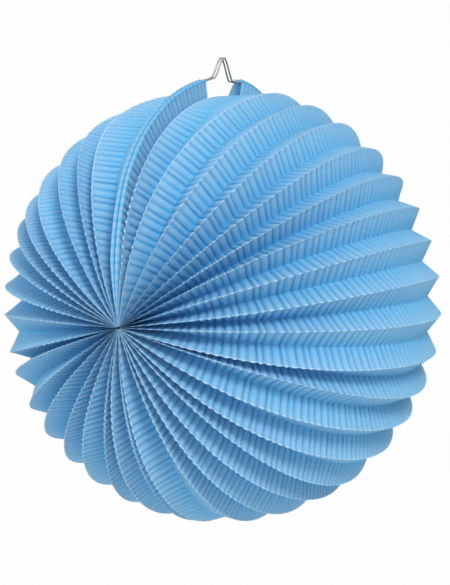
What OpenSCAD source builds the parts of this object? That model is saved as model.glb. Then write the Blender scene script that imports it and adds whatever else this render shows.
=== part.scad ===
// Round paper lantern: two crimped, folded sheets with a wire in each top hem.
// Millimetres. +Z is up, the fold axis lies along Y, the front end of the axis is at -Y.
// The origin is the point under the wire peaks that rests on a hook.

/* [Ball] */
// outside diameter over the fold ridges
ball_d = 250; // [180:1:400]
// width of a strip of paper between a ridge and a valley
strip_w = 13; // [9:0.5:20]
// least depth of a valley where the folds are pulled wide
least_depth = 4; // [2:0.5:8]
// thickness that the crimped paper takes up
paper_t = 0.5; // [0.3:0.05:0.8]
// size of the small hole left where the folds gather on the axis
gather_a = 2.5; // [2:0.5:6]

/* [Top seam] */
// how far the hems are pulled up by the wires at the top
hem_rise = 6; // [1:0.5:10]
// angle from the front end of the axis where the hems stand highest
hem_rise_a = 106; // [80:1:110]
// how far the hems stand above the ridges near the fold axis
hem_lift = 1.2; // [0.8:0.1:3]
// length of the free side of a hem below its wire
hem_flap = 1.3; // [1:0.1:4]
// turn of the seam away from the vertical plane near the front end of the axis
seam_turn = -5.8; // [-8:0.2:0]
// turn of the seam near the back end of the axis
seam_back_turn = 3.2; // [0:0.2:5]
// turn of the seam at the mouth
seam_shift = -0.8; // [-2:0.1:2]
// how far the first ridge on the right lies below the others at the top
right_sink = 6; // [0:0.5:12]
// how far the first ridge on the left lies below the others at the top
left_sink = 1; // [0:0.5:12]
// least depth of the wide valley on the left of the seam
seam_depth = 8; // [4:0.5:12]

/* [Mouth] */
// length of the opening between the cut ends of the hems
mouth_l = 40; // [30:1:80]

/* [Hanger] */
// diameter of one wire
wire_d = 1.0; // [0.5:0.1:1.2]
// height of the wire peaks above the fold ridges
peak_h = 16; // [11:0.5:30]
// height of the feet of the peaks above the fold ridges
foot_h = 3.7; // [2:0.1:8]
// half the width of a peak where its legs start to rise
peak_half_w = 8; // [7:0.5:16]
// distance between the two wires at their peaks
peak_gap = 1.8; // [1.4:0.1:3]

/* [Part] */
// which sub-part to show

/* [Hidden] */
// paper colour
paper_colour = [0.52, 0.74, 0.90];
// wire colour
wire_colour = [0.75, 0.75, 0.76];
// ridges of the right sheet: angle from the top near the axis, and its change at the middle
right_ridges = [
    [-2.6, 6], [5.5, 11.5], [22.5, 3.5], [36.5, -1.5], [46.5, -1.5], [55, -1],
    [61.5, 1.5], [72, 0], [83, -1.5], [90.5, 1], [104.5, -3], [107, 3.5],
    [122, -3], [133, -4.5], [138.5, 1], [149.5, -3], [158, -1], [163.5, 3]
];
// ridges of the left sheet, in the same way
left_ridges = [
    [22.5, 0], [28, 3.5], [38.5, 1], [52.5, -4.5], [60, -2.5], [66.5, -2],
    [72.5, 2], [82, 2], [89.5, 3.8], [104, 0], [108, 4.5], [122, 0.5],
    [130.5, 2], [143, -1.5], [151.5, 0], [164, -3], [168, 2.5]
];
// how far the first ridges of the left sheet are pulled towards the mouth, in degrees
left_pull = [9, 5.5, 3.5];
// how much of the seam's turn at the back the first ridges of both sheets follow
follow = [1, 0.8, 0.45, 0.2];
// angle of the last ridge beside the bottom seam
bottom_ridge_a = 178.7;
// depth of the lap that joins the sheets at the bottom
lap_depth = 2.5;
// angle from the axis where the wires end inside the hems
wire_end_a = 15;
// stations along a hem from the wire end to the mouth
hem_steps = 9;
// sides of a wire
wire_sides = 8;
// clearance between a wire and its hem
wire_play = 0.15;
// clearance between the two hems
hem_play = 0.3;
// longest mitre at a sharp fold
mitre_max = 5;

ball_r = ball_d / 2;
wire_r = wire_d / 2;
hem_r = wire_r + wire_play + paper_t;
hem_off = hem_r + hem_play / 2;
mouth_a = asin(mouth_l / 2 / (ball_r + hem_lift));
edge_a = 90 - mouth_a;
peak_z = ball_r + peak_h;
foot_z = ball_r + foot_h;
// the ball hangs so that the underside of the peaks is at the origin
drop = peak_z - wire_r;

// stations from the front end of the axis to the back end, as angles from the axis
front_stations = concat(
    [gather_a, 7],
    [for (i = [0:hem_steps]) wire_end_a + i * (edge_a - wire_end_a) / hem_steps]
);
middle_stations = [for (share = [-0.85, -0.5, 0, 0.5, 0.85]) 90 + share * mouth_a];
last_front = len(front_stations) - 1;
stations = concat(
    front_stations,
    middle_stations,
    [for (i = [last_front:-1:0]) 180 - front_stations[i]]
);
first_cut = last_front;
last_cut = last_front + len(middle_stations) + 1;
last_station = len(stations) - 1;

// point on the ball side = 1 for the right sheet and -1 for the left, at angle a from the top
function place(side, st, a, r) = [
    side * r * sin(st) * sin(a),
    -r * cos(st),
    r * sin(st) * cos(a) - drop
];
// how far a station is towards the middle of the ball, 0 to 1
function towards_middle(st) = pow(sin(st), 2);
function near_top(st) = exp(-pow((st - 90) / 30, 2));
function near_mouth(st) = exp(-pow((st - 90) / 18, 2));
function hem_scale(st) = min(1, sin(st) / sin(wire_end_a));
function seam_a(side, st) =
    side * (max(seam_turn, min(seam_back_turn, seam_turn * 1.2 * cos(st))) + seam_shift * near_mouth(st));
function hem_line_r(st) =
    ball_r + hem_lift * hem_scale(st) + hem_rise * exp(-pow((st - hem_rise_a) / 22, 2));
// degrees round the axis for a length across the folds
function turn_of(length, r, st) = length / (r * sin(st)) * 180 / PI;
function length_of(turn, r, st) = turn * PI / 180 * r * sin(st);

// outside of the hem round its wire, as [across, outwards] in hem radii
hem_shape = [[-1, -hem_flap], [-1, 0], [-0.707, 0.707], [0, 1], [0.707, 0.707], [1, 0]];

function hem_points(side, st) = [
    for (p = hem_shape)
    let (r = hem_line_r(st), s = hem_scale(st))
    [seam_a(side, st) + turn_of((hem_off + p[0] * hem_r) * s, r, st), r + p[1] * hem_r * s]
];
// how far folds beside the seam move with it behind the mouth
function moved(side, st) = st > 90 ? side * (seam_back_turn - seam_turn) * (1 - near_top(st)) : 0;
function ridge_a(ridge, pull, shift, st) =
    ridge[0] + ridge[1] * towards_middle(st) - pull * near_mouth(st) + shift;
function valley_depth(gap_a, least, st) =
    let (half = length_of(gap_a / 2, ball_r, st))
    sqrt(max(strip_w * strip_w - half * half, least * least));
// how far the mouth is open at a station, 0 at the cut ends to 1 in the middle
function opened(st) = sqrt(max(0, 1 - pow((st - 90) / mouth_a, 2)));
// angle of the valley beside the hem: right under it at the cut ends of the hems
function first_valley_a(side, hem_end, gap, st) =
    side > 0
    ? (hem_end + 0.3 * gap) * (1 - near_mouth(st)) + 0.3 * seam_a(1, st) * near_mouth(st)
    : hem_end + (0.5 - 0.48 * near_mouth(st) + 0.48 * opened(st)) * gap;
function ridge_r(i, sink, st) = ball_r - (i == 0 ? sink * near_top(st) : 0);

// fold line of one sheet at one station: hem, valleys and ridges in turn, lap
function fold_line(side, ridges, pulls, sink, st) =
    let (
        hem = hem_points(side, st),
        hem_end = hem[len(hem) - 1][0],
        last = len(ridges) - 1,
        free = [
            for (i = [0:last])
            ridge_a(ridges[i], i < len(pulls) ? pulls[i] : 0, i < len(follow) ? follow[i] * moved(side, st) : 0, st)
        ],
        least_a = hem_end + turn_of(0.4 * hem_scale(st), ball_r, st),
        angles = [for (i = [0:last]) i == 0 ? max(free[0], least_a) : free[i]],
        first_gap = angles[0] - hem_end,
        first_least = side > 0 ? least_depth : seam_depth,
        lap_a = 180
    )
    concat(
        hem,
        [[first_valley_a(side, hem_end, first_gap, st),
          ridge_r(0, sink, st) - valley_depth(first_gap, first_least, st)]],
        [for (i = [0:last], k = [0:1])
            let (next = i == last ? bottom_ridge_a : angles[i + 1])
            k == 0 ? [angles[i], ridge_r(i, sink, st)]
            : [(angles[i] + next) / 2, ball_r - valley_depth(next - angles[i], least_depth, st)]],
        [[bottom_ridge_a, ball_r], [lap_a, ball_r - lap_depth]]
    );

// moves a fold line inwards by the paper thickness, with mitres at the folds
function inner_line(line, st) = [
    for (i = [0:len(line) - 1])
    let (
        here = line[i],
        before = line[max(0, i - 1)],
        after = line[min(len(line) - 1, i + 1)],
        d1 = i == 0 ? flat(here, after, st) : flat(before, here, st),
        d2 = i == len(line) - 1 ? d1 : flat(here, after, st),
        n1 = [d1[1], -d1[0]],
        n2 = [d2[1], -d2[0]],
        both = n1 + n2,
        size = max(norm(both), 0.0001),
        depth = paper_t * scale_of(i, st) * min(2 / size, mitre_max / paper_t),
        step = i == len(line) - 1 ? [0, -wall_at_lap] : depth * both / size
    )
    [here[0] + turn_of(step[0], here[1], st), here[1] + step[1]]
];
wall_at_lap = 2 * paper_t;
hem_count = len(hem_shape);
function scale_of(i, st) = i < hem_count ? hem_scale(st) : 1;
function flat(p, q, st) =
    let (d = [length_of(q[0] - p[0], (p[1] + q[1]) / 2, st), q[1] - p[1]])
    d / norm(d);

module sheet(side, ridges, pulls, sink) {
    outer = [for (st = stations) fold_line(side, ridges, pulls, sink, st)];
    inner = [for (k = [0:last_station]) inner_line(outer[k], stations[k])];
    n = len(outer[0]);
    start = hem_count;
    points = concat(
        [for (k = [0:last_station], j = [0:n - 1])
            place(side, stations[k], outer[k][j][0], outer[k][j][1])],
        [for (k = [0:last_station], j = [0:n - 1])
            place(side, stations[k], inner[k][j][0], inner[k][j][1])]
    );
    half = n * (last_station + 1);
    skins = [
        for (k = [0:last_station - 1], j = [0:n - 2])
        if (j >= start || k < first_cut || k >= last_cut)
        for (f = strip_faces(k * n + j, n, half)) f
    ];
    long_edges = [
        for (k = [0:last_station - 1])
        let (a = (k < first_cut || k >= last_cut ? 0 : start) + k * n, b = n - 1 + k * n)
        for (f = concat(quad(a, a + half, a + half + n, a + n), quad(b, b + n, b + n + half, b + half))) f
    ];
    ends = [
        for (j = [0:n - 2])
        let (a = j, b = last_station * n + j)
        for (f = concat(quad(a, a + 1, a + 1 + half, a + half), quad(b, b + half, b + half + 1, b + 1))) f
    ];
    cuts = [
        for (j = [0:start - 1])
        let (a = last_cut * n + j, b = first_cut * n + j)
        for (f = concat(quad(a, a + 1, a + 1 + half, a + half), quad(b, b + half, b + half + 1, b + 1))) f
    ];
    all_faces = concat(skins, long_edges, ends, cuts);
    faces = side > 0 ? all_faces : [for (f = all_faces) [f[2], f[1], f[0]]];
    polyhedron(points = points, faces = faces, convexity = 12);
}
function quad(a, b, c, d) = [[a, b, c], [a, c, d]];
function strip_faces(a, n, half) = concat(
    quad(a, a + n, a + n + 1, a + 1),
    quad(a + half, a + half + 1, a + half + n + 1, a + half + n)
);

// half of a peak from its foot to the top, as [along the axis, height above the feet]
rise = peak_z - foot_z;
peak_shape = [
    for (p = [[1.32, 0], [1, 0.13], [0.84, 0.27], [0.68, 0.44], [0.52, 0.64], [0.3, 0.86], [0.12, 0.975]])
    [peak_half_w * p[0], rise * p[1]]
];
last_peak = len(peak_shape) - 1;
// the bare wire runs straight in plan from the end of its hem to its place at the peak
function wire_x(side, y) =
    let (from = hem_centre(side, y < 0 ? edge_a : 180 - edge_a)[0], to = side * peak_gap / 2)
    to + (from - to) * min(1, abs(y) / (mouth_l / 2));
function hem_centre(side, st) =
    let (r = hem_line_r(st))
    place(side, st, seam_a(side, st) + turn_of(hem_off, r, st), r);
function wire_path(side) = concat(
    [for (k = [2:first_cut]) hem_centre(side, stations[k])],
    [for (p = peak_shape) [wire_x(side, -p[0]), -p[0], foot_z + p[1] - drop]],
    [[wire_x(side, 0), 0, peak_z - drop]],
    [for (i = [last_peak:-1:0]) let (p = peak_shape[i]) [wire_x(side, p[0]), p[0], foot_z + p[1] - drop]],
    [for (k = [last_cut:last_station - 2]) hem_centre(side, stations[k])]
);
module wire(side) {
    path = wire_path(side);
    last = len(path) - 1;
    rings = [
        for (i = [0:last])
        let (
            along = path[min(last, i + 1)] - path[max(0, i - 1)],
            forward = along / norm(along),
            rest = [1, 0, 0] - forward[0] * forward,
            across = rest / norm(rest),
            up = cross(across, forward)
        )
        for (s = [0:wire_sides - 1])
        let (a = (s + 0.5) * 360 / wire_sides)
        path[i] + wire_r * (cos(a) * across + sin(a) * up)
    ];
    walls = [
        for (i = [0:last - 1], s = [0:wire_sides - 1])
        let (t = (s + 1) % wire_sides, a = i * wire_sides, b = a + wire_sides)
        for (f = quad(a + s, a + t, b + t, b + s)) f
    ];
    front_cap = [[for (s = [wire_sides - 1:-1:0]) s]];
    back_cap = [[for (s = [0:wire_sides - 1]) last * wire_sides + s]];
    polyhedron(points = rings, faces = concat(walls, front_cap, back_cap), convexity = 6);
}

module right_sheet() { color(paper_colour) sheet(1, right_ridges, [], right_sink); }
module left_sheet() { color(paper_colour) sheet(-1, left_ridges, left_pull, left_sink); }
module right_wire() { color(wire_colour) wire(1); }
module left_wire() { color(wire_colour) wire(-1); }

right_sheet();
left_sheet();
right_wire();
left_wire();
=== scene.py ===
import math

import bpy
import numpy as np
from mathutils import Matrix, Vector


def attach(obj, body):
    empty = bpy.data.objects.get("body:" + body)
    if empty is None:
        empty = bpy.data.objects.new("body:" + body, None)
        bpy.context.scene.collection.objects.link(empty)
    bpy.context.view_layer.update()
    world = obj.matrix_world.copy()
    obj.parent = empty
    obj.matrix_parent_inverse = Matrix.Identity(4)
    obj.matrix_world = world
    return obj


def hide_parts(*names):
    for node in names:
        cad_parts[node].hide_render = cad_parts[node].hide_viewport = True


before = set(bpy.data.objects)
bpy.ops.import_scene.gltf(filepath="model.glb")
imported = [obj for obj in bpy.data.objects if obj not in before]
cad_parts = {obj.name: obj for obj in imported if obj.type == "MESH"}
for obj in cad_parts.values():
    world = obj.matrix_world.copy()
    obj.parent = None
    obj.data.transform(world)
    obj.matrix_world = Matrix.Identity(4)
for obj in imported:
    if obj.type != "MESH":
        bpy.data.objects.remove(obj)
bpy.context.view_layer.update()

# Lengths are in metres and angles in degrees. Angles are round the fold axis from the top, or
# along the folds from the front end of the axis
MM = 0.001

# Ball, and the strips between its folds. The first ridges are sunk beside the mouth. Valleys
# are at least LEAST_DEPTH deep, and the one by the left hem at least SEAM_DEPTH
BALL_R = 125 * MM
STRIP_W = 13 * MM
LEAST_DEPTH = 4 * MM
RIGHT_SINK = 6 * MM
LEFT_SINK = 1 * MM
SEAM_DEPTH = 8 * MM
SEAM_GAP = 0.4 * MM
BOTTOM_RIDGE_A = 178.7
LAP_DEPTH = 2.5 * MM

# Wires, and the hems wrapped round them. HEM_FLAP is in hem radii
WIRE_R = 0.5 * MM
WIRE_PLAY = 0.15 * MM
WIRE_END_A = 15
PAPER_T = 0.5 * MM
HEM_R = WIRE_R + WIRE_PLAY + PAPER_T
HEM_OFF = HEM_R + 0.15 * MM
HEM_RISE = 6 * MM
HEM_RISE_A = 106
HEM_RISE_SPREAD = 22
HEM_LIFT = 1.2 * MM
HEM_FLAP = 1.3

# Seam between the hems: its angle at the front and back, its shift at the mouth, and how
# soon it turns
SEAM_TURN = -5.8
SEAM_BACK_TURN = 3.2
SEAM_SHIFT = -0.8
SEAM_SLOPE = 1.2

# Mouth cut out of the hems, and two reaches over which the folds beside it are changed
TOP_SPREAD = 30
MOUTH_SPREAD = 18
MOUTH_L = 40 * MM
MOUTH_A = math.degrees(math.asin(MOUTH_L / 2 / (BALL_R + HEM_LIFT)))

# Bare peaks of the wires over the mouth. The origin is the underside of their tops
PEAK_H = 16 * MM
FOOT_H = 3.7 * MM
PEAK_HALF_W = 8 * MM
PEAK_GAP = 1.8 * MM
PEAK_Z = BALL_R + PEAK_H
FOOT_Z = BALL_R + FOOT_H
DROP = PEAK_Z - WIRE_R
BALL_CENTRE = Vector((0, 0, -DROP))

# Ridges of each sheet: angle at the ends of the axis, and its change at the middle
RIGHT_RIDGES = [
    (-2.6, 6), (5.5, 11.5), (22.5, 3.5), (36.5, -1.5), (46.5, -1.5), (55, -1),
    (61.5, 1.5), (72, 0), (83, -1.5), (90.5, 1), (104.5, -3), (107, 3.5),
    (122, -3), (133, -4.5), (138.5, 1), (149.5, -3), (158, -1), (163.5, 3),
]
LEFT_RIDGES = [
    (22.5, 0), (28, 3.5), (38.5, 1), (52.5, -4.5), (60, -2.5), (66.5, -2),
    (72.5, 2), (82, 2), (89.5, 3.8), (104, 0), (108, 4.5), (122, 0.5),
    (130.5, 2), (143, -1.5), (151.5, 0), (164, -3), (168, 2.5),
]
# How far the first ridges of the left sheet are pulled towards the mouth
LEFT_PULL = [9, 5.5, 3.5]
# How much of the seam's turn at the back the first ridges of both sheets follow
FOLLOW = [1, 0.8, 0.45, 0.2]
# Where the first valley lies, as a share of the gap from hem to first ridge. At the mouth the
# right one runs under the seam, and the left one comes close to the hem at the mouth's ends
RIGHT_VALLEY = 0.3
LEFT_VALLEY = 0.5
LEFT_VALLEY_MOVE = 0.48

# Crimps: how many from end to end, the samples along one of them, and how uneven they are
CRIMPS = 92
CRIMP_STEPS = [0, 0.06, 0.2, 0.4, 0.6, 0.8, 0.94]
CRIMP_SHIFT = 0.12
CRIMP_UNEVEN = 0.14
# The sheets stop just short of the axis
END_A = 0.4
# Places across a strip from ridge 0 to valley 1, and the depth of a crimp at each
ACROSS = [0, 0.06, 0.3, 0.65, 0.93, 1]
CRIMP_DEPTH = [0.35 * MM, 0.9 * MM, 1.15 * MM, 1.2 * MM, 1.15 * MM, 0.9 * MM]
HEM_CRIMP = 0.15 * MM
# Crimps are shallower where the folds are pressed together, near the ends of the axis
PRESSED_A = 24
PRESSED_POWER = 1.3
# They also push each ridge from side to side, but not at its middle, which is near the outline
RIDGE_WAVE = 0.9 * MM
WAVE_POWER = 1.5


def stations():
    """Angles from the front end of the axis, and how far a crimp goes in at each, 0 to about 1."""
    span = (180 - 2 * END_A) / CRIMPS
    angles = []
    dents = []
    for k in range(CRIMPS):
        shift = CRIMP_SHIFT * math.sin(2.1 * k) * (0 < k < CRIMPS)
        after = CRIMP_SHIFT * math.sin(2.1 * (k + 1)) * (k + 1 < CRIMPS)
        depth = 1 + CRIMP_UNEVEN * math.sin(3.7 * k)
        for s in CRIMP_STEPS:
            angles.append(END_A + (k + s + shift + (after - shift) * s) * span)
            dents.append(depth * (2 * s - 1) ** 2)
    angles.append(180 - END_A)
    dents.append(1)
    return np.array(angles), np.array(dents)


def bell(centre, spread):
    """1 at one angle from the front end of the axis, falling to 0 on both sides of it."""
    return np.exp(-(((ST - centre) / spread) ** 2))


ST, DENT = stations()
SIN = np.sin(np.radians(ST))
COS = np.cos(np.radians(ST))
MIDDLE = SIN ** 2
NEAR_TOP = bell(90, TOP_SPREAD)
NEAR_MOUTH = bell(90, MOUTH_SPREAD)
CRIMP_SCALE = np.minimum(1, (SIN / math.sin(math.radians(PRESSED_A))) ** PRESSED_POWER)
WAVE_SCALE = CRIMP_SCALE * np.abs(COS) ** WAVE_POWER
# Hems taper from the ends of the wires to the ends of the axis
HEM_SCALE = np.minimum(1, SIN / math.sin(math.radians(WIRE_END_A)))
HEM_LINE_R = BALL_R + HEM_LIFT * HEM_SCALE + HEM_RISE * bell(HEM_RISE_A, HEM_RISE_SPREAD)
# How open the mouth is along the seam, 0 at its ends and 1 in its middle
OPENED = np.sqrt(np.maximum(0, 1 - ((ST - 90) / MOUTH_A) ** 2))
SEAM_A = np.clip(SEAM_TURN * SEAM_SLOPE * COS, SEAM_TURN, SEAM_BACK_TURN)
SEAM_A = SEAM_A + SEAM_SHIFT * NEAR_MOUTH
# How far the seam has turned behind the mouth, which the first ridges follow
MOVED = np.where(ST > 90, (SEAM_BACK_TURN - SEAM_TURN) * (1 - NEAR_TOP), 0)


def place(side, a, r):
    """Points on one side of the ball for angles a from the top and radii r."""
    rad = np.radians(a)
    return np.stack(
        [side * r * SIN * np.sin(rad), -r * COS, r * SIN * np.cos(rad) - DROP], axis=-1
    )


def turn_of(length, r):
    """Angle round the axis that a length takes up at radius r from the ball's centre."""
    return np.degrees(length / (r * SIN))


def hem_line(side):
    """Outside of a hem from its free end round the wire, as angles and radii."""
    shape = [(-1, -HEM_FLAP), (-1, 0)]
    for d in (157.5, 135, 112.5, 90, 67.5, 45, 22.5, 0):
        shape.append((math.cos(math.radians(d)), math.sin(math.radians(d))))
    lines = []
    for across, out in shape:
        a = side * SEAM_A + turn_of((HEM_OFF + across * HEM_R) * HEM_SCALE, HEM_LINE_R)
        lines.append((a, HEM_LINE_R + out * HEM_R * HEM_SCALE))
    return lines


def valley_depth(gap, least=LEAST_DEPTH):
    """Depth of the valley between two ridges, so that its strips keep their width."""
    half = np.radians(gap / 2) * BALL_R * SIN
    return np.sqrt(np.maximum(STRIP_W ** 2 - half ** 2, least ** 2))


def fold_lines(side, ridges, pulls, sink):
    """Fold lines after the hem: valleys and ridges in turn, then the lap at the bottom."""
    hem_end = hem_line(side)[-1][0]
    angles = [base + drift * MIDDLE for base, drift in ridges]
    for i, pull in enumerate(pulls):
        angles[i] = angles[i] - pull * NEAR_MOUTH
    for i, share in enumerate(FOLLOW):
        angles[i] = angles[i] + side * share * MOVED
    angles[0] = np.maximum(angles[0], hem_end + turn_of(SEAM_GAP * HEM_SCALE, BALL_R))
    first_r = BALL_R - sink * NEAR_TOP
    gap = angles[0] - hem_end
    if side > 0:
        valley_a = (hem_end + RIGHT_VALLEY * gap) * (1 - NEAR_MOUTH)
        valley_a = valley_a + RIGHT_VALLEY * SEAM_A * NEAR_MOUTH
        least = LEAST_DEPTH
    else:
        moved = LEFT_VALLEY_MOVE * (OPENED - NEAR_MOUTH)
        valley_a = hem_end + (LEFT_VALLEY + moved) * gap
        least = SEAM_DEPTH
    lines = [(valley_a, first_r - valley_depth(gap, least), "valley")]
    for i, a in enumerate(angles):
        r = first_r if i == 0 else BALL_R + 0 * a
        lines.append((a, r, "ridge"))
        after = angles[i + 1] if i + 1 < len(angles) else BOTTOM_RIDGE_A + 0 * a
        lines.append(((a + after) / 2, BALL_R - valley_depth(after - a), "valley"))
    lines.append((BOTTOM_RIDGE_A + 0 * ST, BALL_R + 0 * ST, "ridge"))
    lines.append((180 + 0 * ST, BALL_R - LAP_DEPTH + 0 * ST, "valley"))
    return lines


def unit(v):
    """Vectors of length 1 in the same directions."""
    return v / np.maximum(np.linalg.norm(v, axis=-1, keepdims=True), 1e-9)


# Painted shade of a hem, row by row from its edges to its top, on the scale of ridge 0 to valley 1
HEM_PAINTED_SHADE = [1, 1, 1, 0.8, 0.5, 0.25]


def sheet_rows(side, ridges, pulls, sink):
    """Rows across a crimped sheet: points, place from ridge 0 to valley 1 or painted hem shade, and
    if it is a fold.
    """
    centre = np.array([0, 0, -DROP])
    hem = hem_line(side)
    rows = []
    for i, (a, r) in enumerate(hem):
        p = place(side, a, r)
        p = p - unit(p - centre) * (HEM_CRIMP * DENT * HEM_SCALE)[:, None]
        rows.append((p, HEM_PAINTED_SHADE[min(i, len(hem) - i)], False))
    before = (place(side, *hem[-1]), "ridge")
    for a, r, kind in fold_lines(side, ridges, pulls, sink):
        here = place(side, a, r)
        start, start_kind = before
        along = np.gradient(start, axis=0)
        normal = unit(np.cross(here - start, along)) * side
        for k in range(1, len(ACROSS)):
            j = k if start_kind == "ridge" else len(ACROSS) - 1 - k
            where = ACROSS[j]
            t = where if start_kind == "ridge" else 1 - where
            p = start + (here - start) * t
            outwards = unit(p - centre)
            if k < len(ACROSS) - 1:
                facing = np.sum(normal * outwards, axis=-1, keepdims=True)
                outwards = np.where(facing < 0, -normal, normal)
            p = p - outwards * (CRIMP_DEPTH[j] * DENT * CRIMP_SCALE)[:, None]
            if where == 0:
                sideways = unit(np.cross(along, outwards))
                p = p + sideways * (RIDGE_WAVE * (0.5 - DENT) * WAVE_SCALE)[:, None]
            rows.append((p, where, k == len(ACROSS) - 1))
        before = (here, kind)
    return rows


def new_object(name, data):
    """Puts a mesh, lamp or camera in the scene."""
    obj = bpy.data.objects.new(name, data)
    bpy.context.collection.objects.link(obj)
    return obj


def grid_mesh(name, rows, keep, caps=()):
    """Mesh from rows; keep(row, station) says which quads stay, and caps close cut hems."""
    n = len(ST)
    points = np.concatenate([row[0] for row in rows])
    faces = []
    for j in range(len(rows) - 1):
        ks = np.array([k for k in range(n - 1) if keep(j, k)])
        a = j * n + ks
        faces.append(np.stack([a, a + 1, a + n + 1, a + n], axis=-1))
    for station, count in caps:
        close = [[j, j + 1, count - 2 - j, count - 1 - j] for j in range(count // 2 - 1)]
        faces.append(np.array(close) * n + station)
    quads = np.concatenate(faces)
    used, index = np.unique(quads, return_inverse=True)
    quads = index.reshape(-1, 4)
    mesh = bpy.data.meshes.new(name)
    mesh.vertices.add(len(used))
    mesh.vertices.foreach_set("co", points[used].astype(np.float32).ravel())
    mesh.loops.add(quads.size)
    mesh.loops.foreach_set("vertex_index", quads.astype(np.int32).ravel())
    mesh.polygons.add(len(quads))
    mesh.polygons.foreach_set("loop_start", np.arange(0, quads.size, 4, dtype=np.int32))
    mesh.update(calc_edges=True)
    # across the strip from ridge to valley, and along it how far the crimp goes in
    uv = mesh.uv_layers.new(name="folds")
    across = np.concatenate([np.full(n, row[1]) for row in rows])[used]
    along = np.tile(DENT, len(rows))[used]
    pairs = np.stack([across, along], axis=-1)[quads.ravel()]
    uv.data.foreach_set("uv", pairs.astype(np.float32).ravel())
    mesh.polygons.foreach_set("use_smooth", np.ones(len(quads), dtype=bool))
    # sharp along the folds, and across the strips in the creases between crimps
    ends = np.empty(len(mesh.edges) * 2, dtype=np.int32)
    mesh.edges.foreach_get("vertices", ends)
    ends = used[ends.reshape(-1, 2)]
    folded = np.array([row[2] for row in rows])
    same_row = ends[:, 0] // n == ends[:, 1] // n
    creased = ends[:, 0] % n % len(CRIMP_STEPS) == 0
    sharp = np.where(same_row, folded[ends[:, 0] // n], creased)
    mesh.attributes.new("sharp_edge", "BOOLEAN", "EDGE").data.foreach_set("value", sharp)
    return new_object(name, mesh)


def sheet_pieces(side, ridges, pulls, sink, name, parting):
    """One sheet in two meshes that meet in a valley."""
    rows = sheet_rows(side, ridges, pulls, sink)
    hem_rows = len(hem_line(side))
    first_valley = hem_rows - 1 + len(ACROSS) - 1
    parting_row = first_valley + parting * 2 * (len(ACROSS) - 1)

    def in_mouth(k):
        return abs((ST[k] + ST[k + 1]) / 2 - 90) < MOUTH_A

    cut = [k for k in range(len(ST) - 1) if in_mouth(k)]
    upper = grid_mesh(
        name + "_upper",
        rows[: parting_row + 1],
        lambda j, k: not (j < first_valley and in_mouth(k)),
        caps=[(cut[0], hem_rows), (cut[-1] + 1, hem_rows)],
    )
    lower = grid_mesh(name + "_lower", rows[parting_row:], lambda j, k: True)
    return upper, lower


def new_material(name):
    """A material, and its nodes and links."""
    mat = bpy.data.materials.new(name)
    mat.use_nodes = True
    return mat, mat.node_tree.nodes, mat.node_tree.links


def noise_node(nodes, links, coords, scale, detail):
    """Noise fixed to the object, so that it looks the same from everywhere."""
    noise = nodes.new("ShaderNodeTexNoise")
    noise.inputs["Scale"].default_value = scale
    noise.inputs["Detail"].default_value = detail
    links.new(coords.outputs["Object"], noise.inputs["Vector"])
    return noise


def range_node(nodes, links, value, start, end):
    """Maps a value from one range to another; start and end are pairs of before and after."""
    ramp = nodes.new("ShaderNodeMapRange")
    ramp.inputs["From Min"].default_value, ramp.inputs["To Min"].default_value = start
    ramp.inputs["From Max"].default_value, ramp.inputs["To Max"].default_value = end
    links.new(value, ramp.inputs["Value"])
    return ramp.outputs["Result"]


def math_node(nodes, links, operation, *values):
    """A calculation with one or two linked values."""
    node = nodes.new("ShaderNodeMath")
    node.operation = operation
    for value, socket in zip(values, node.inputs):
        links.new(value, socket)
    return node.outputs["Value"]


def mix_node(nodes, links, factor, colour_b):
    """A colour mix with a linked share of a plain second colour."""
    mix = nodes.new("ShaderNodeMix")
    mix.data_type = "RGBA"
    mix.inputs["B"].default_value = colour_b
    links.new(factor, mix.inputs["Factor"])
    return mix


# Paper colours: two soft tones, deep blue for painted shade in creases and valleys, and pale
# blue for painted highlights on ridges
PAPER_TONES = ((0.27, 0.54, 0.77, 1), (0.34, 0.59, 0.79, 1))
PAINTED_SHADE_BLUE = (0.02, 0.38, 0.71, 1)
PAINTED_HIGHLIGHT_BLUE = (0.58, 0.82, 0.96, 1)
# Where the painted shade starts on the way into a crease or a valley, and its share at the bottom
CREASE_SHADE_START = 0.05
CREASE_SHADE_SHARE = 0.5
VALLEY_SHADE_START = 0.1
VALLEY_SHADE_SHARE = 0.42
# Width of the painted highlight lines on the ridges, on the scale of ridge 0 to valley 1, and
# their shares at two distances along the fold axis from its middle
RIDGE_HIGHLIGHT_W = 0.07
MIDDLE_Y = 0.4 * BALL_R
MIDDLE_HIGHLIGHT_SHARE = 0.45
END_Y = 0.92 * BALL_R
END_HIGHLIGHT_SHARE = 0.9
# Shares of the fibres in the colour, and of the light that passes through
FIBRE_SHARE = 0.12
LIGHT_SHARE = 0.25
# Drawn steel: two tones, and the roughness that goes with each
STEEL_TONES = ((0.28, 0.28, 0.29, 1), (0.36, 0.36, 0.37, 1))
STEEL_ROUGH = (0.36, 0.5)
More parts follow.
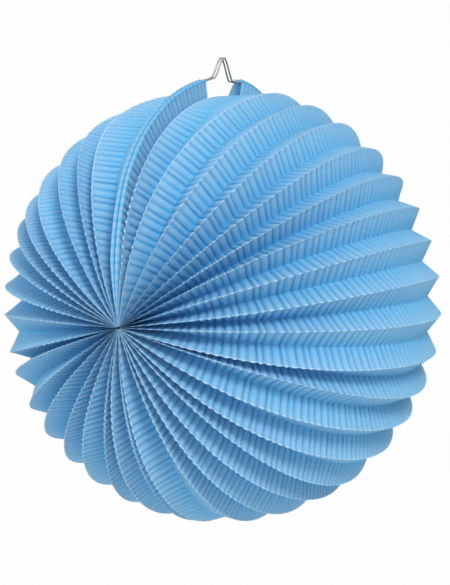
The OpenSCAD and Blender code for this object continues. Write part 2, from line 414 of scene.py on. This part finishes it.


# Paper: matt light blue, with shade painted deeper blue in creases and valleys, and highlights
# painted paler along the ridges
def paper_material():
    mat, nodes, links = new_material("crimped_blue_paper")
    shader = nodes["Principled BSDF"]
    shader.inputs["Roughness"].default_value = 0.75
    shader.inputs["Specular IOR Level"].default_value = 0.25
    coords = nodes.new("ShaderNodeTexCoord")
    # soft clouds of tone, and fine fibres
    cloud = noise_node(nodes, links, coords, 14, 3)
    fibre = noise_node(nodes, links, coords, 900, 4)
    tone = mix_node(nodes, links, cloud.outputs["Fac"], PAPER_TONES[1])
    tone.inputs["A"].default_value = PAPER_TONES[0]
    speck = nodes.new("ShaderNodeMix")
    speck.data_type = "RGBA"
    speck.blend_type = "MULTIPLY"
    speck.inputs["Factor"].default_value = FIBRE_SHARE
    links.new(tone.outputs["Result"], speck.inputs["A"])
    links.new(fibre.outputs["Color"], speck.inputs["B"])
    # painted shade: deeper blue towards a valley and in the creases between crimps
    uv = nodes.new("ShaderNodeUVMap")
    uv.uv_map = "folds"
    split = nodes.new("ShaderNodeSeparateXYZ")
    links.new(uv.outputs["UV"], split.inputs["Vector"])
    crease_shade = range_node(nodes, links, split.outputs["Y"], (CREASE_SHADE_START, 0), (1, CREASE_SHADE_SHARE))
    valley_shade = range_node(nodes, links, split.outputs["X"], (VALLEY_SHADE_START, 0), (1, VALLEY_SHADE_SHARE))
    shaded_colour = mix_node(nodes, links, math_node(nodes, links, "ADD", crease_shade, valley_shade), PAINTED_SHADE_BLUE)
    links.new(speck.outputs["Result"], shaded_colour.inputs["A"])
    # painted highlights: pale lines on the ridges, plainer near the ends of the axis
    line = nodes.new("ShaderNodeValToRGB")
    line.color_ramp.elements[0].color = (1, 1, 1, 1)
    line.color_ramp.elements[1].position = RIDGE_HIGHLIGHT_W
    line.color_ramp.elements[1].color = (0, 0, 0, 1)
    links.new(split.outputs["X"], line.inputs["Fac"])
    where = nodes.new("ShaderNodeSeparateXYZ")
    links.new(coords.outputs["Object"], where.inputs["Vector"])
    along_axis = math_node(nodes, links, "ABSOLUTE", where.outputs["Y"])
    near_end = range_node(nodes, links, along_axis, (MIDDLE_Y, MIDDLE_HIGHLIGHT_SHARE), (END_Y, END_HIGHLIGHT_SHARE))
    highlight_share = math_node(nodes, links, "MULTIPLY", line.outputs["Color"], near_end)
    highlit_colour = mix_node(nodes, links, highlight_share, PAINTED_HIGHLIGHT_BLUE)
    links.new(shaded_colour.outputs["Result"], highlit_colour.inputs["A"])
    links.new(highlit_colour.outputs["Result"], shader.inputs["Base Color"])
    bump = nodes.new("ShaderNodeBump")
    bump.inputs["Strength"].default_value = 0.15
    bump.inputs["Distance"].default_value = 0.2 * MM
    links.new(fibre.outputs["Fac"], bump.inputs["Height"])
    links.new(bump.outputs["Normal"], shader.inputs["Normal"])
    # thin paper lets some light through
    through = nodes.new("ShaderNodeBsdfTranslucent")
    links.new(highlit_colour.outputs["Result"], through.inputs["Color"])
    thin = nodes.new("ShaderNodeMixShader")
    thin.inputs["Fac"].default_value = LIGHT_SHARE
    links.new(shader.outputs["BSDF"], thin.inputs[1])
    links.new(through.outputs["BSDF"], thin.inputs[2])
    links.new(thin.outputs["Shader"], nodes["Material Output"].inputs["Surface"])
    return mat


# Wire: plain drawn steel with a faint uneven tone and polish
def wire_material():
    mat, nodes, links = new_material("drawn_steel")
    shader = nodes["Principled BSDF"]
    shader.inputs["Metallic"].default_value = 1
    coords = nodes.new("ShaderNodeTexCoord")
    noise = noise_node(nodes, links, coords, 400, 3)
    tone = mix_node(nodes, links, noise.outputs["Fac"], STEEL_TONES[1])
    tone.inputs["A"].default_value = STEEL_TONES[0]
    links.new(tone.outputs["Result"], shader.inputs["Base Color"])
    rough = range_node(nodes, links, noise.outputs["Fac"], (0, STEEL_ROUGH[0]), (1, STEEL_ROUGH[1]))
    links.new(rough, shader.inputs["Roughness"])
    return mat


# Half of a bare wire from its foot to the top: shares of the peak's half width and height
PEAK_SHAPE = [
    (1.32, 0), (1, 0.13), (0.84, 0.27), (0.68, 0.44), (0.52, 0.64), (0.3, 0.86), (0.12, 0.975),
]
# Stations of the hem from one point of the wire to the next, steps between them, and sides
WIRE_STEP = 14
WIRE_SMOOTH = 5
WIRE_SIDES = 12


def wire_points(side):
    """Centre line of one wire from end to end."""
    line = place(side, side * SEAM_A + turn_of(HEM_OFF, HEM_LINE_R), HEM_LINE_R)
    steps = range(0, len(ST), WIRE_STEP)
    front = [line[k] for k in steps if WIRE_END_A < ST[k] < 90 - MOUTH_A]
    back = [line[k] for k in steps if 90 + MOUTH_A < ST[k] < 180 - WIRE_END_A]

    def bare(y_share, height_share):
        y = y_share * PEAK_HALF_W
        hem_x = front[-1][0] if y < 0 else back[0][0]
        peak_x = side * PEAK_GAP / 2
        x = peak_x + (hem_x - peak_x) * min(1, abs(y) / (MOUTH_L / 2))
        return np.array([x, y, FOOT_Z + height_share * (PEAK_Z - FOOT_Z) - DROP])

    rise = [bare(-y, h) for y, h in PEAK_SHAPE]
    fall = [bare(y, h) for y, h in reversed(PEAK_SHAPE)]
    return np.array(front + rise + [bare(0, 1)] + fall + back)


def smooth_path(points, steps):
    """Passes a smooth curve through the points."""
    padded = np.vstack([2 * points[0] - points[1], points, 2 * points[-1] - points[-2]])
    out = []
    for i in range(1, len(padded) - 2):
        p0, p1, p2, p3 = padded[i - 1 : i + 3]
        for s in range(steps):
            t = s / steps
            square = 2 * p0 - 5 * p1 + 4 * p2 - p3
            cube = 3 * p1 - p0 - 3 * p2 + p3
            out.append(0.5 * (2 * p1 + (p2 - p0) * t + square * t ** 2 + cube * t ** 3))
    out.append(padded[-2])
    return np.array(out)


def wire_piece(side, name):
    """One wire as a closed round rod."""
    path = smooth_path(wire_points(side), WIRE_SMOOTH)
    forward = unit(np.gradient(path, axis=0))
    across = unit(np.array([1.0, 0, 0]) - forward * forward[:, :1])
    up = np.cross(across, forward)
    turns = [2 * math.pi * s / WIRE_SIDES for s in range(WIRE_SIDES)]
    rings = np.stack(
        [path + WIRE_R * (math.cos(a) * across + math.sin(a) * up) for a in turns], axis=1
    ).reshape(-1, 3)
    faces = []
    for i in range(len(path) - 1):
        here = i * WIRE_SIDES
        after = here + WIRE_SIDES
        for s in range(WIRE_SIDES):
            t = (s + 1) % WIRE_SIDES
            faces.append((here + s, here + t, after + t, after + s))
    last = (len(path) - 1) * WIRE_SIDES
    faces.append(tuple(range(WIRE_SIDES - 1, -1, -1)))
    faces.append(tuple(last + s for s in range(WIRE_SIDES)))
    mesh = bpy.data.meshes.new(name)
    mesh.from_pydata(rings.tolist(), [], faces)
    mesh.polygons.foreach_set("use_smooth", np.ones(len(faces), dtype=bool))
    return new_object(name, mesh)


# Pieces. Each sheet is parted after so many ridges, to keep a piece under 200,000 triangles
RIGHT_PARTING = 9
LEFT_PARTING = 8
paper = paper_material()
steel = wire_material()
for side, ridges, pulls, sink, node, parting in (
    (1, RIGHT_RIDGES, [], RIGHT_SINK, "right_sheet", RIGHT_PARTING),
    (-1, LEFT_RIDGES, LEFT_PULL, LEFT_SINK, "left_sheet", LEFT_PARTING),
):
    for piece in sheet_pieces(side, ridges, pulls, sink, node, parting):
        piece.data.materials.append(paper)
        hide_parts(node)
        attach(piece, "root")
for side, node in ((1, "right_wire"), (-1, "left_wire")):
    piece = wire_piece(side, node + "_smooth")
    piece.data.materials.append(steel)
    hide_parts(node)
    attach(piece, "root")


# Stage: the floor, how much of it the camera sees as plain white, and the world's whites
FLOOR_Z = -0.62
FLOOR_SIZE = 30
FLOOR_GLOW = 0.96
WORLD_LIGHT = 0.6
WORLD_SEEN = 0.985


def background_rays(nodes, links):
    """A socket that is 1 for the rays that show the background, in view, in metal or in glass."""
    rays = nodes.new("ShaderNodeLightPath")
    share = rays.outputs["Is Camera Ray"]
    for name in ("Is Glossy Ray", "Is Transmission Ray"):
        share = math_node(nodes, links, "MAXIMUM", share, rays.outputs[name])
    return share


# Floor, well below the hung lantern: white to the camera, with a trace of shadow
def white_floor():
    bpy.ops.mesh.primitive_plane_add(size=FLOOR_SIZE, location=(0, 0, FLOOR_Z))
    floor = bpy.context.object
    floor.name = "floor"
    mat, nodes, links = new_material("pale_floor")
    shader = nodes["Principled BSDF"]
    shader.inputs["Base Color"].default_value = (0.9, 0.9, 0.9, 1)
    shader.inputs["Roughness"].default_value = 0.9
    glow = nodes.new("ShaderNodeEmission")
    glow.inputs["Color"].default_value = (1, 1, 1, 1)
    share = nodes.new("ShaderNodeMath")
    share.operation = "MULTIPLY"
    share.inputs[1].default_value = FLOOR_GLOW
    links.new(background_rays(nodes, links), share.inputs[0])
    mix = nodes.new("ShaderNodeMixShader")
    links.new(share.outputs["Value"], mix.inputs["Fac"])
    links.new(shader.outputs["BSDF"], mix.inputs[1])
    links.new(glow.outputs["Emission"], mix.inputs[2])
    links.new(mix.outputs["Shader"], nodes["Material Output"].inputs["Surface"])
    floor.data.materials.append(mat)
    return floor


# World: white to the camera, softer white as light
def white_world():
    world = bpy.data.worlds.new("studio")
    world.use_nodes = True
    nodes = world.node_tree.nodes
    links = world.node_tree.links
    nodes.clear()
    mix = nodes.new("ShaderNodeMixShader")
    links.new(background_rays(nodes, links), mix.inputs["Fac"])
    for strength, socket in ((WORLD_LIGHT, mix.inputs[1]), (WORLD_SEEN, mix.inputs[2])):
        white = nodes.new("ShaderNodeBackground")
        white.inputs["Color"].default_value = (1, 1, 1, 1)
        white.inputs["Strength"].default_value = strength
        links.new(white.outputs["Background"], socket)
    output = nodes.new("ShaderNodeOutputWorld")
    links.new(mix.outputs["Shader"], output.inputs["Surface"])
    return world


def direction(azimuth, elevation):
    """Unit vector from the ball, with azimuth from the front end of the axis to the right."""
    a = math.radians(azimuth)
    e = math.radians(elevation)
    return Vector((math.sin(a) * math.cos(e), -math.cos(a) * math.cos(e), math.sin(e)))


def area_light(name, azimuth, elevation, distance, size, power):
    """A square soft light aimed at the ball's centre."""
    towards = direction(azimuth, elevation)
    data = bpy.data.lights.new(name, "AREA")
    data.size = size
    data.energy = power
    obj = new_object(name, data)
    obj.location = BALL_CENTRE + towards * distance
    obj.rotation_mode = "QUATERNION"
    obj.rotation_quaternion = towards.to_track_quat("Z", "Y")


floor = white_floor()
bpy.context.scene.world = white_world()
area_light("key", 42, 38, 1.6, 0.5, 17)
area_light("fill", -58, 22, 1.9, 0.8, 11)
area_light("front", 6, 6, 1.9, 0.7, 6.5)

# Camera at the photograph's angle: a little to the right of the axis and above it.
# The photograph is FRAME_W by FRAME_H pixels, with the ball's centre at BALL_X, BALL_Y
CAM_AZ = 23.5
CAM_EL = 5.8
CAM_DISTANCE = 5 * BALL_R
FOCAL_PX = 1071.3
FRAME_W = 450
FRAME_H = 585
BALL_X = 222.8
BALL_Y = 303.6
SENSOR = 36
back = direction(CAM_AZ, CAM_EL)
right = direction(CAM_AZ + 90, 0)
up = back.cross(right)
aim = (
    BALL_CENTRE
    + right * ((FRAME_W / 2 - BALL_X) / FOCAL_PX * CAM_DISTANCE)
    + up * ((BALL_Y - FRAME_H / 2) / FOCAL_PX * CAM_DISTANCE)
)
cam_data = bpy.data.cameras.new("camera")
cam_data.sensor_width = SENSOR
cam_data.lens = FOCAL_PX / FRAME_H * SENSOR
cam = new_object("camera", cam_data)
cam.location = BALL_CENTRE + back * CAM_DISTANCE
cam.rotation_mode = "QUATERNION"
cam.rotation_quaternion = (cam.location - aim).to_track_quat("Z", "Y")
bpy.context.scene.camera = cam
bpy.context.scene.view_settings.view_transform = "Standard"
